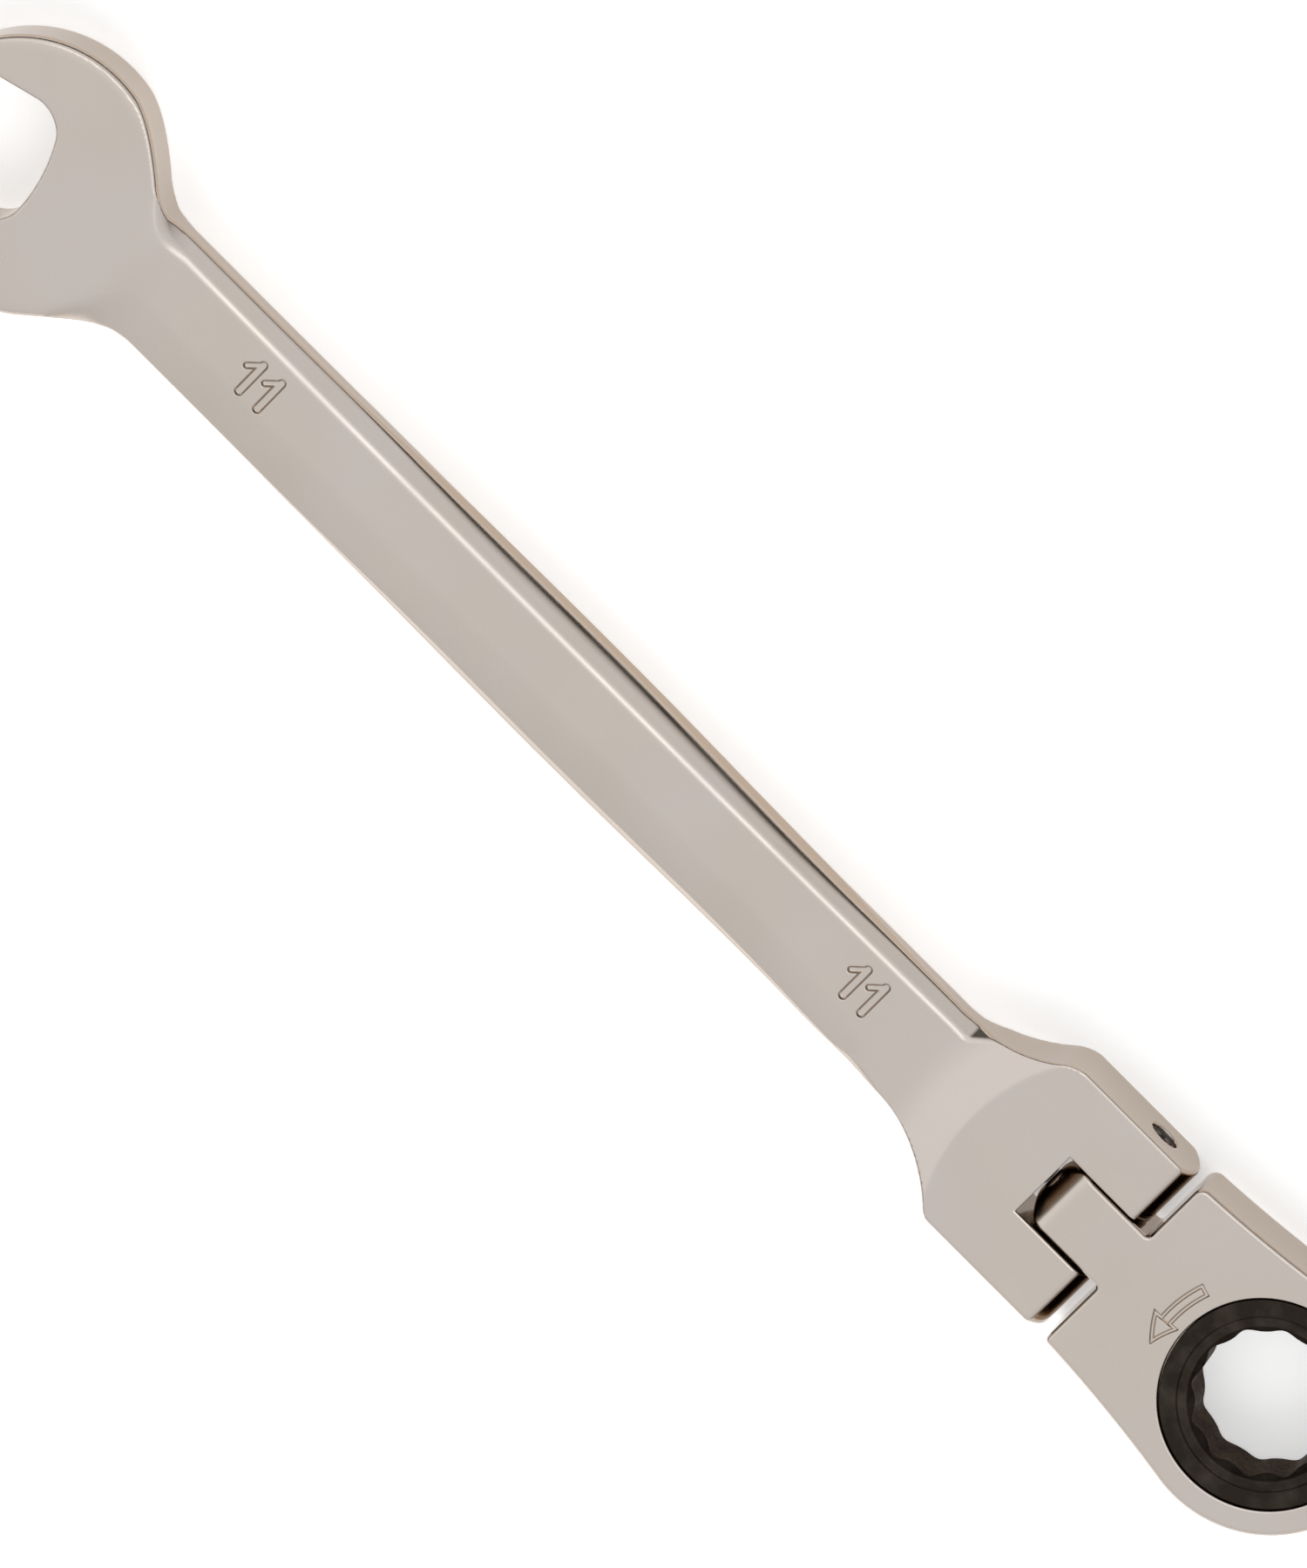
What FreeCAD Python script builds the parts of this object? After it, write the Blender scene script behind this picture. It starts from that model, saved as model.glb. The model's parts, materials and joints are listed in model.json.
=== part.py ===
"""Flex-head ratcheting combination wrench for 11 mm hexagons, in millimetres.

The origin is on the drive axis of the ring at mid-thickness. +X runs from the open end to the ring end,
+Z comes out of the face that carries the size number, and the open jaw leans towards -Y.
"""
import FreeCAD, Part

import math
import os

# Drive size
ACROSS_FLATS = 11.0
DRIVE_LOBES = 12
LOBE_SHARE = 0.32
LOBE_R = 6.25
RIDGE_R = 5.83
DRIVE_CHAMFER_R = 6.6
DRIVE_CHAMFER_DEPTH = 0.65

# Ratchet head
HEAD_HALF_T = 3.5
RING_R = 10.9
SHOULDER_X = -16.2
SHOULDER_HALF_W = 9.25
WAIST_X = -8.5
WAIST_HALF_W = 9.85
WAIST_END_X = -2.2
HEAD_EDGE_R = 0.35
FLANGE_SEAT_Z = 2.05
FLANGE_BORE_R = 8.8
TOOTH_BORE_R = 8.3
LIP_BORE_R = 7.7
LIP_TOP_Z = -2.05
LIP_T = 0.5
BORE_CHAMFER = 0.25

# Ring gear
TEETH = 72
TOOTH_TIP_R = 8.2
TOOTH_ROOT_R = 7.75
GEAR_HALF_T = 3.4
FLANGE_R = 8.7
FLANGE_Z = 2.1
TOOTH_BOTTOM_Z = -2.0
JOURNAL_R = 7.6
GROOVE_R = 7.2
GROOVE_TOP_Z = -2.6
GROOVE_T = 0.55

# Retaining ring
CLIP_R = 8.55
CLIP_CLEARANCE = 0.03
CLIP_GAP_DEG = 30.0

# Hinge
PIN_X = -21.06
PIN_R = 1.33
EAR_HOLE_R = 1.35
TANG_HOLE_R = 1.38
PIN_HALF_LENGTH = 8.6
PIN_WALL = 0.42
PIN_SLOT = 0.45
TANG_HALF_W = 3.0
TANG_EDGE_X = -22.9
TANG_CORNER = 1.0

# Pawl, in the head
PAWL_HALF_W = 3.2
PAWL_HALF_T = 1.75
PAWL_BACK_X = -12.2
PAWL_FRONT_X = -6.2
PAWL_TOOTH_CLEARANCE = 0.08
POCKET_HALF_W = 3.4
POCKET_HALF_T = 1.85
POCKET_END_X = -12.9
SPRING_HOLE_R = 1.15
SPRING_HOLE_END_X = -16.7
PAWL_BLIND_DEPTH = 1.2

# Springs
WIRE_R = 0.2
COIL_R = 0.85
SPRING_END_GAP = 0.05
COIL_PITCH = 0.95

# Clevis, on the handle
CLEVIS_HALF_T = 3.75
CLEVIS_HALF_W = 9.12
CLEVIS_CORNER_X = -29.9
EAR_END_X = -17.0
EAR_CORNER_X = -18.25
SLOT_HALF_W = 3.2
SLOT_END_X = -25.55
SLOT_EDGE_X = -25.25
FACE_ARC_X = -16.1
FACE_ARC_R = 17.0
SLOPE_MIDDLE_R = 20.0
SLOPE_MIDDLE_Z = 2.75
FLARE_START_X = -41.0
FLARE_MIDDLE = (-36.0, 5.35)
FLARE_END = (-33.6, 6.6)
FLARE_CORNER = (-31.7, 8.05)

# Shank
SHANK_HALF_T = 2.1
SHANK_FACE_HALF_W = 3.25
SHANK_SIDE_HALF_T = 1.15
SHANK_SIDE_BOW = 0.25
SHANK_NARROW_HALF_W = 4.95
SHANK_MIDDLE_HALF_W = 5.6
SHANK_MIDDLE_X = -80.0
SHANK_JAW_HALF_W = 5.05
SHANK_START_X = -131.5
SHANK_END_X = -33.0
WEB_INSET = 0.2

# Open end
JAW_CENTRE_X = -141.0
JAW_CENTRE_Y = -0.9
JAW_R = 11.5
JAW_FACE_R = 10.4
JAW_HALF_T = 2.9
JAW_RIM_HALF_T = 1.5
JAW_LEAN_DEG = 15.0
THROAT_BACK = 0.9
THROAT_BOW = 0.4
GAP_SHIFT = 0.6
THROAT_CORNER_R = 2.2
JAW_DEPTH = 11.4
LOWER_NECK_R = 7.0
CHEEK_HALF_W = 7.1
CHEEK_X = -133.2
CHEEK_SLOPE = 0.8
CHEEK_REACH = 7.0
UPPER_NECK_X = -128.5
UPPER_NECK_SAG = 0.3
RIM_MIDDLE_R = 11.1
RIM_MIDDLE_Z = 2.5
TIP_CUT_HALF_W = 20.0
TIP_CUT_LENGTH = 9.0

# Friction detent, in the handle
PLUNGER_R = 1.2
PLUNGER_HOLE_R = 1.25
PLUNGER_TIP_GAP = 0.03
PLUNGER_LENGTH = 2.3
PLUNGER_NOSE_R = 0.6
PLUNGER_HOLE_DEPTH = 6.2

# Size number
DIGIT_H = 3.5
DIGIT_SHIFT = 0.4
DIGIT_STROKE = 0.6
DIGIT_FLAG = 1.0
DIGIT_PITCH = 2.05
DIGIT_DEPTH = 0.15
NUMBER_XS = (-115.4, -46.4)


def vec(x, y, z=0.0):
    return FreeCAD.Vector(x, y, z)


def polar(r, degrees):
    a = math.radians(degrees)
    return vec(r * math.cos(a), r * math.sin(a))


def line(a, b):
    return Part.makeLine(a, b)


def arc(a, middle, b):
    return Part.Arc(a, middle, b).toShape()


def prism(edges, z0, z1):
    """A solid with the closed outline of edges, drawn at z = 0, from z0 to z1."""
    face = Part.Face(Part.Wire(edges))
    face.translate(vec(0, 0, z0))
    return face.extrude(vec(0, 0, z1 - z0))


def polygon(points):
    return [line(a, b) for a, b in zip(points, points[1:] + points[:1])]


def side_prism(edges, half_w):
    """A solid with an outline drawn in XZ, from -half_w to half_w along Y."""
    face = Part.Face(Part.Wire(edges))
    face.translate(vec(0, -half_w, 0))
    return face.extrude(vec(0, 2 * half_w, 0))


def disc(r, z0, z1):
    return Part.makeCylinder(r, z1 - z0, vec(0, 0, z0))


def bar_x(r, x0, x1):
    return Part.makeCylinder(r, x1 - x0, vec(x0, 0, 0), vec(1, 0, 0))


def bar_y(r, x, half_length):
    return Part.makeCylinder(r, 2 * half_length, vec(x, -half_length, 0), vec(0, 1, 0))


def block(x0, x1, half_w, half_t):
    return Part.makeBox(x1 - x0, 2 * half_w, 2 * half_t, vec(x0, -half_w, -half_t))


def cone_cut(r_face, depth, z_face, outward):
    """The cone that chamfers a hole at z_face. outward is 1 at an upper face and -1 at a lower one."""
    return Part.makeCone(r_face, r_face - depth, depth, vec(0, 0, z_face), vec(0, 0, -outward))


def save(name, shape):
    solid = shape.removeSplitter()
    solid.exportStep("parts/" + name + ".step")
    print(name, round(solid.Volume, 2), solid.isValid(), len(solid.Solids))


# Ring gear and its clip


def drive_outline():
    """Twelve round lobes joined by rounded ridges."""
    pitch = 360.0 / DRIVE_LOBES
    half_lobe = LOBE_SHARE * pitch
    mid_r = (LOBE_R + RIDGE_R) / 2
    edges = []
    for k in range(DRIVE_LOBES):
        a = k * pitch
        start = polar(mid_r, a - half_lobe)
        middle = polar(mid_r, a + half_lobe)
        end = polar(mid_r, a + pitch - half_lobe)
        edges.append(arc(start, polar(LOBE_R, a), middle))
        edges.append(arc(middle, polar(RIDGE_R, a + 0.5 * pitch), end))
    return edges


def tooth_outline(clearance=0.0):
    """The ratchet teeth as V-shaped notches, with a root at 180 degrees."""
    half = 180.0 / TEETH
    points = []
    for k in range(TEETH):
        points.append(polar(TOOTH_ROOT_R + clearance, 2 * k * half))
        points.append(polar(TOOTH_TIP_R + clearance, (2 * k + 1) * half))
    return polygon(points)


def ring_gear():
    body = prism(tooth_outline(), TOOTH_BOTTOM_Z, FLANGE_Z)
    body = body.fuse(disc(FLANGE_R, FLANGE_Z, GEAR_HALF_T))
    groove_bottom = GROOVE_TOP_Z - GROOVE_T
    body = body.fuse(disc(JOURNAL_R, GROOVE_TOP_Z, TOOTH_BOTTOM_Z))
    body = body.fuse(disc(GROOVE_R, groove_bottom, GROOVE_TOP_Z))
    body = body.fuse(disc(JOURNAL_R, -GEAR_HALF_T, groove_bottom))
    body = body.cut(prism(drive_outline(), -2 * GEAR_HALF_T, 2 * GEAR_HALF_T))
    body = body.cut(cone_cut(DRIVE_CHAMFER_R, DRIVE_CHAMFER_DEPTH, GEAR_HALF_T, 1))
    return body.cut(cone_cut(DRIVE_CHAMFER_R, DRIVE_CHAMFER_DEPTH, -GEAR_HALF_T, -1))


def retaining_ring():
    z1 = GROOVE_TOP_Z - CLIP_CLEARANCE
    z0 = GROOVE_TOP_Z - GROOVE_T + CLIP_CLEARANCE
    ring = disc(CLIP_R, z0, z1).cut(disc(GROOVE_R + CLIP_CLEARANCE, z0, z1))
    half_gap = CLIP_GAP_DEG / 2
    mouth = polygon([vec(0, 0), polar(2 * CLIP_R, -half_gap), polar(2 * CLIP_R, half_gap)])
    return ring.cut(prism(mouth, z0, z1))


# Ratchet head


def head_outline():
    """The ring's circle running into the nearly straight sides and the square shoulder."""
    waist_end_y = math.sqrt(RING_R ** 2 - WAIST_END_X ** 2)
    corner = vec(SHOULDER_X, SHOULDER_HALF_W)
    waist = vec(WAIST_X, WAIST_HALF_W)
    start = vec(WAIST_END_X, waist_end_y)
    mirrored = [vec(p.x, -p.y) for p in (corner, waist, start)]
    return [
        arc(corner, waist, start),
        arc(start, vec(RING_R, 0), mirrored[2]),
        arc(mirrored[2], mirrored[1], mirrored[0]),
        line(mirrored[0], corner),
    ]


def tang():
    """The tongue that turns between the ears, with an end that is round about the hinge pin."""
    drop = TANG_EDGE_X - PIN_X
    end_r = math.hypot(drop, HEAD_HALF_T)
    top = vec(TANG_EDGE_X, 0, HEAD_HALF_T)
    bottom = vec(TANG_EDGE_X, 0, -HEAD_HALF_T)
    root_x = SHOULDER_X + 1
    side = [
        arc(top, vec(PIN_X - end_r, 0, 0), bottom),
        line(bottom, vec(root_x, 0, -HEAD_HALF_T)),
        line(vec(root_x, 0, -HEAD_HALF_T), vec(root_x, 0, HEAD_HALF_T)),
        line(vec(root_x, 0, HEAD_HALF_T), top),
    ]
    end_x = PIN_X - end_r
    plan = polygon(
        [
            vec(root_x, TANG_HALF_W),
            vec(end_x + TANG_CORNER, TANG_HALF_W),
            vec(end_x, TANG_HALF_W - TANG_CORNER),
            vec(end_x, TANG_CORNER - TANG_HALF_W),
            vec(end_x + TANG_CORNER, -TANG_HALF_W),
            vec(root_x, -TANG_HALF_W),
        ]
    )
    return side_prism(side, TANG_HALF_W).common(prism(plan, -HEAD_HALF_T, HEAD_HALF_T))


def ratchet_head():
    body = prism(head_outline(), -HEAD_HALF_T, HEAD_HALF_T)
    rims = [e for e in body.Edges if abs(abs(e.CenterOfMass.z) - HEAD_HALF_T) < 0.01]
    body = body.makeFillet(HEAD_EDGE_R, rims)
    body = body.fuse(tang())
    lip_bottom_z = LIP_TOP_Z - LIP_T
    body = body.cut(disc(FLANGE_BORE_R, FLANGE_SEAT_Z, 2 * HEAD_HALF_T))
    body = body.cut(disc(TOOTH_BORE_R, LIP_TOP_Z, FLANGE_Z))
    body = body.cut(disc(LIP_BORE_R, lip_bottom_z, LIP_TOP_Z))
    body = body.cut(disc(FLANGE_BORE_R, -2 * HEAD_HALF_T, lip_bottom_z))
    rim_r = FLANGE_BORE_R + BORE_CHAMFER
    body = body.cut(cone_cut(rim_r, BORE_CHAMFER, HEAD_HALF_T, 1))
    body = body.cut(cone_cut(rim_r, BORE_CHAMFER, -HEAD_HALF_T, -1))
    body = body.cut(block(POCKET_END_X, PAWL_FRONT_X, POCKET_HALF_W, POCKET_HALF_T))
    body = body.cut(bar_x(SPRING_HOLE_R, SPRING_HOLE_END_X, POCKET_END_X))
    return body.cut(bar_y(TANG_HOLE_R, PIN_X, 2 * TANG_HALF_W))


def pawl():
    """The block whose toothed face matches the ring gear, with a blind hole for its spring."""
    body = block(PAWL_BACK_X, PAWL_FRONT_X, PAWL_HALF_W, PAWL_HALF_T)
    body = body.cut(prism(tooth_outline(PAWL_TOOTH_CLEARANCE), -HEAD_HALF_T, HEAD_HALF_T))
    return body.cut(bar_x(SPRING_HOLE_R, PAWL_BACK_X, PAWL_BACK_X + PAWL_BLIND_DEPTH))


def coil(x0, x1):
    """A compression spring along X."""
    height = x1 - x0 - 2 * (WIRE_R + SPRING_END_GAP)
    path = Part.makeHelix(COIL_PITCH, height, COIL_R)
    section = Part.Wire([Part.makeCircle(WIRE_R, vec(COIL_R, 0, 0), vec(0, 1, 0))])
    spring = Part.Wire(path.Edges).makePipeShell([section], True, True)
    spring.rotate(vec(0, 0, 0), vec(0, 1, 0), 90)
    spring.translate(vec(x0 + WIRE_R + SPRING_END_GAP, 0, 0))
    return spring


def hinge_pin():
    """A slotted spring pin, a little shorter than the clevis is wide."""
    body = bar_y(PIN_R, PIN_X, PIN_HALF_LENGTH)
    body = body.cut(bar_y(PIN_R - PIN_WALL, PIN_X, PIN_HALF_LENGTH))
    corner = vec(PIN_X - PIN_SLOT / 2, -PIN_HALF_LENGTH, -2 * PIN_R)
    return body.cut(Part.makeBox(PIN_SLOT, 2 * PIN_HALF_LENGTH, 2 * PIN_R, corner))


# Handle


def shank_section(x, half_w):
    """Flat faces, bevelled shoulders and rounded sides."""
    t = SHANK_HALF_T
    s = SHANK_SIDE_HALF_T
    bevel_y = half_w - SHANK_SIDE_BOW
    f = SHANK_FACE_HALF_W
    edges = [
        line(vec(x, -f, t), vec(x, f, t)),
        line(vec(x, f, t), vec(x, bevel_y, s)),
        arc(vec(x, bevel_y, s), vec(x, half_w, 0), vec(x, bevel_y, -s)),
        line(vec(x, bevel_y, -s), vec(x, f, -t)),
        line(vec(x, f, -t), vec(x, -f, -t)),
        line(vec(x, -f, -t), vec(x, -bevel_y, -s)),
        arc(vec(x, -bevel_y, -s), vec(x, -half_w, 0), vec(x, -bevel_y, s)),
        line(vec(x, -bevel_y, s), vec(x, -f, t)),
    ]
    return Part.Wire(edges)


def shank():
    stations = [
        (SHANK_START_X, SHANK_JAW_HALF_W),
        (SHANK_MIDDLE_X, SHANK_MIDDLE_HALF_W),
        (FLARE_START_X, SHANK_NARROW_HALF_W),
        (SHANK_END_X, SHANK_NARROW_HALF_W),
    ]
    return Part.makeLoft([shank_section(x, w) for x, w in stations], True)


def clevis_outline():
    """The plan of the clevis: a concave flare from the shank to a corner, then straight sides."""
    w0 = SHANK_NARROW_HALF_W - WEB_INSET
    flare = arc(vec(FLARE_START_X, w0), vec(*FLARE_MIDDLE), vec(*FLARE_END))
    corner = arc(vec(*FLARE_END), vec(*FLARE_CORNER), vec(CLEVIS_CORNER_X, CLEVIS_HALF_W))
    upper = [flare, corner, line(vec(CLEVIS_CORNER_X, CLEVIS_HALF_W), vec(EAR_END_X, CLEVIS_HALF_W))]
    lower = [e.mirror(vec(0, 0), vec(0, 1, 0)) for e in upper]
    end = line(vec(EAR_END_X, CLEVIS_HALF_W), vec(EAR_END_X, -CLEVIS_HALF_W))
    start = line(vec(FLARE_START_X, -w0), vec(FLARE_START_X, w0))
    return upper + [end] + lower[::-1] + [start]


def clevis_profile():
    """Half of the side view, turned about the face arc's centre: a flat face and a slope to the shank."""
    r_end = FACE_ARC_X - FLARE_START_X
    face_end = vec(FACE_ARC_R, 0, CLEVIS_HALF_T)
    shank_end = vec(r_end, 0, SHANK_HALF_T)
    edges = [
        line(vec(0, 0, 0), vec(0, 0, CLEVIS_HALF_T)),
        line(vec(0, 0, CLEVIS_HALF_T), face_end),
        arc(face_end, vec(SLOPE_MIDDLE_R, 0, SLOPE_MIDDLE_Z), shank_end),
        line(shank_end, vec(r_end, 0, 0)),
        line(vec(r_end, 0, 0), vec(0, 0, 0)),
    ]
    half = Part.Face(Part.Wire(edges)).revolve(vec(0, 0, 0), vec(0, 0, 1), 360)
    half.translate(vec(FACE_ARC_X, 0, 0))
    return half.fuse(half.mirror(vec(0, 0), vec(0, 0, 1)))


def ear_profile():
    """The side view of the ears, with round ends that let the head's shoulder pass."""
    far_x = FLARE_START_X - 1
    top = vec(EAR_CORNER_X, 0, CLEVIS_HALF_T)
    bottom = vec(EAR_CORNER_X, 0, -CLEVIS_HALF_T)
    edges = [
        line(vec(far_x, 0, CLEVIS_HALF_T), top),
        arc(top, vec(EAR_END_X, 0, 0), bottom),
        line(bottom, vec(far_x, 0, -CLEVIS_HALF_T)),
        line(vec(far_x, 0, -CLEVIS_HALF_T), vec(far_x, 0, CLEVIS_HALF_T)),
    ]
    return side_prism(edges, 2 * CLEVIS_HALF_W)


def clevis():
    body = prism(clevis_outline(), -CLEVIS_HALF_T, CLEVIS_HALF_T)
    body = body.common(clevis_profile())
    return body.common(ear_profile())


def clevis_slot():
    """The space between the ears. Its end is hollow, as a disc cutter leaves it."""
    open_x = EAR_END_X + 5
    top = vec(SLOT_EDGE_X, 0, CLEVIS_HALF_T + 0.1)
    bottom = vec(SLOT_EDGE_X, 0, -CLEVIS_HALF_T - 0.1)
    edges = [
        arc(top, vec(SLOT_END_X, 0, 0), bottom),
        line(bottom, vec(open_x, 0, bottom.z)),
        line(vec(open_x, 0, bottom.z), vec(open_x, 0, top.z)),
        line(vec(open_x, 0, top.z), top),
    ]
    return side_prism(edges, SLOT_HALF_W)


def jaw_axis():
    """Unit vectors of the open jaw: out through its mouth, and across it."""
    a = math.radians(JAW_LEAN_DEG)
    return vec(-math.cos(a), -math.sin(a)), vec(-math.sin(a), math.cos(a))


def jaw_point(along, across):
    """A point in the jaw's own directions, counted from the middle of its head."""
    out, side = jaw_axis()
    return vec(JAW_CENTRE_X, JAW_CENTRE_Y) + out * along + side * across


def jaw_disc():
    """The round head of the open end, with softly rounded rims."""
    face_edge = vec(JAW_FACE_R, 0, JAW_HALF_T)
    side_edge = vec(JAW_R, 0, JAW_RIM_HALF_T)
    back_edge = vec(JAW_FACE_R, 0, -JAW_HALF_T)
    edges = [
        line(vec(0, 0, -JAW_HALF_T), vec(0, 0, JAW_HALF_T)),
        line(vec(0, 0, JAW_HALF_T), face_edge),
        arc(face_edge, vec(RIM_MIDDLE_R, 0, RIM_MIDDLE_Z), side_edge),
        line(side_edge, vec(JAW_R, 0, -JAW_RIM_HALF_T)),
        arc(vec(JAW_R, 0, -JAW_RIM_HALF_T), vec(RIM_MIDDLE_R, 0, -RIM_MIDDLE_Z), back_edge),
        line(back_edge, vec(0, 0, -JAW_HALF_T)),
    ]
    body = Part.Face(Part.Wire(edges)).revolve(vec(0, 0, 0), vec(0, 0, 1), 360)
    body.translate(vec(JAW_CENTRE_X, JAW_CENTRE_Y))
    return body


def cheek_cut():
    """What is taken off the round head where it runs straight down to the upper side of the shank."""
    rise = CHEEK_REACH * CHEEK_SLOPE
    low = vec(CHEEK_X + CHEEK_REACH, CHEEK_HALF_W - rise)
    high = vec(CHEEK_X - CHEEK_REACH, CHEEK_HALF_W + rise)
    return prism(polygon([low, high, vec(low.x, high.y)]), -JAW_HALF_T, JAW_HALF_T)


def upper_neck():
    """The web in the corner between the head's straight cheek and the upper side of the shank."""
    on_head = vec(CHEEK_X, CHEEK_HALF_W)
    on_shank = vec(UPPER_NECK_X, SHANK_JAW_HALF_W - WEB_INSET)
    middle = (on_head + on_shank) * 0.5 - vec(UPPER_NECK_SAG, UPPER_NECK_SAG)
    edges = [
        arc(on_head, middle, on_shank),
        line(on_shank, vec(UPPER_NECK_X, 0)),
        line(vec(UPPER_NECK_X, 0), vec(JAW_CENTRE_X, 0)),
        line(vec(JAW_CENTRE_X, 0), on_head),
    ]
    return prism(edges, -SHANK_HALF_T, SHANK_HALF_T)


def lower_neck():
    """The web that fills the corner between the round head and the lower side of the shank."""
    half_w = SHANK_JAW_HALF_W - WEB_INSET
    centre_y = -half_w - LOWER_NECK_R
    reach = math.sqrt((JAW_R + LOWER_NECK_R) ** 2 - (centre_y - JAW_CENTRE_Y) ** 2)
    centre = vec(JAW_CENTRE_X + reach, centre_y)
    to_head = vec(JAW_CENTRE_X, JAW_CENTRE_Y) - centre
    to_head.normalize()
    on_head = centre + to_head * LOWER_NECK_R
    on_shank = vec(centre.x, -half_w)
    between = to_head + vec(0, 1)
    between.normalize()
    inner = vec(JAW_CENTRE_X, 0)
    edges = [
        arc(on_head, centre + between * LOWER_NECK_R, on_shank),
        line(on_shank, vec(on_shank.x, 0)),
        line(vec(on_shank.x, 0), inner),
        line(inner, on_head),
    ]
    return prism(edges, -SHANK_HALF_T, SHANK_HALF_T)


def jaw_gap():
    """The space for the hexagon: parallel flats, a bowed throat with round corners, and an open mouth."""
    half = ACROSS_FLATS / 2
    throat = -THROAT_BACK
    r = THROAT_CORNER_R
    c = r * (1 - math.sqrt(0.5))
    far = JAW_R + 5

    def p(along, across):
        return jaw_point(along, across + GAP_SHIFT)

    edges = [
        arc(p(throat, r - half), p(throat - THROAT_BOW, 0), p(throat, half - r)),
        arc(p(throat, half - r), p(throat + c, half - c), p(throat + r, half)),
        line(p(throat + r, half), p(far, half)),
        line(p(far, half), p(far, -half)),
        line(p(far, -half), p(throat + r, -half)),
        arc(p(throat + r, -half), p(throat + c, c - half), p(throat, r - half)),
    ]
    return prism(edges, -2 * JAW_HALF_T, 2 * JAW_HALF_T)


def jaw_tip_cut():
    """What is taken off in front of the jaw tips, square to the jaw."""
    near = JAW_DEPTH - THROAT_BACK
    far = near + TIP_CUT_LENGTH
    w = TIP_CUT_HALF_W
    points = [jaw_point(near, -w), jaw_point(near, w), jaw_point(far, w), jaw_point(far, -w)]
    return prism(polygon(points), -2 * JAW_HALF_T, 2 * JAW_HALF_T)


def open_end():
    body = jaw_disc().cut(cheek_cut())
    body = body.fuse(upper_neck()).fuse(lower_neck())
    body = body.cut(jaw_gap())
    return body.cut(jaw_tip_cut())


def digit_one(x):
    """The cutter of one figure 1, with its foot towards -Y."""
    foot = DIGIT_SHIFT - DIGIT_H / 2
    head = DIGIT_SHIFT + DIGIT_H / 2
    right = x + DIGIT_STROKE
    flag_y = head - DIGIT_STROKE
    stem = [vec(x, foot), vec(right, foot), vec(right, head), vec(x, head)]
    flag = [
        vec(x, head),
        vec(right, head),
        vec(x - DIGIT_FLAG, flag_y - DIGIT_STROKE),
        vec(x - DIGIT_FLAG, flag_y),
    ]
    floor_z = SHANK_HALF_T - DIGIT_DEPTH
    one = prism(polygon(stem), floor_z, 2 * SHANK_HALF_T)
    return one.fuse(prism(polygon(flag), floor_z, 2 * SHANK_HALF_T))


def handle():
    body = shank().fuse(clevis()).fuse(open_end())
    body = body.cut(clevis_slot())
    body = body.cut(jaw_gap())
    body = body.cut(bar_y(EAR_HOLE_R, PIN_X, 2 * CLEVIS_HALF_W))
    body = body.cut(bar_x(PLUNGER_HOLE_R, SLOT_END_X - PLUNGER_HOLE_DEPTH, SLOT_END_X + 1))
    for centre in NUMBER_XS:
        for step in (-0.5, 0.5):
            body = body.cut(digit_one(centre + step * DIGIT_PITCH - DIGIT_STROKE / 2))
    return body


def plunger_tip_x():
    return PIN_X - math.hypot(TANG_EDGE_X - PIN_X, HEAD_HALF_T) - PLUNGER_TIP_GAP


def detent_plunger():
    """A plunger with a rounded nose that bears on the tang's end."""
    tip = plunger_tip_x()
    body = bar_x(PLUNGER_R, tip - PLUNGER_LENGTH, tip)
    nose = [e for e in body.Edges if abs(e.CenterOfMass.x - tip) < 0.01]
    return body.makeFillet(PLUNGER_NOSE_R, nose)


def detent_spring():
    return coil(SLOT_END_X - PLUNGER_HOLE_DEPTH, plunger_tip_x() - PLUNGER_LENGTH)


def pawl_spring():
    return coil(SPRING_HOLE_END_X, PAWL_BACK_X + PAWL_BLIND_DEPTH)


os.makedirs("parts", exist_ok=True)
save("handle", handle())
save("ratchet_head", ratchet_head())
save("ring_gear", ring_gear())
save("retaining_ring", retaining_ring())
save("hinge_pin", hinge_pin())
save("pawl", pawl())
save("pawl_spring", pawl_spring())
save("detent_plunger", detent_plunger())
save("detent_spring", detent_spring())
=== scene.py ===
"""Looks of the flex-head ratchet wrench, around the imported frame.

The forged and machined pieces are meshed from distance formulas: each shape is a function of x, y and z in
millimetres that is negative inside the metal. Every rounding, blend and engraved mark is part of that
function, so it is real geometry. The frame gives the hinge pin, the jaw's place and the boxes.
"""
import json
import math

import bpy
import numpy as np
from mathutils import Matrix, Vector


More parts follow.
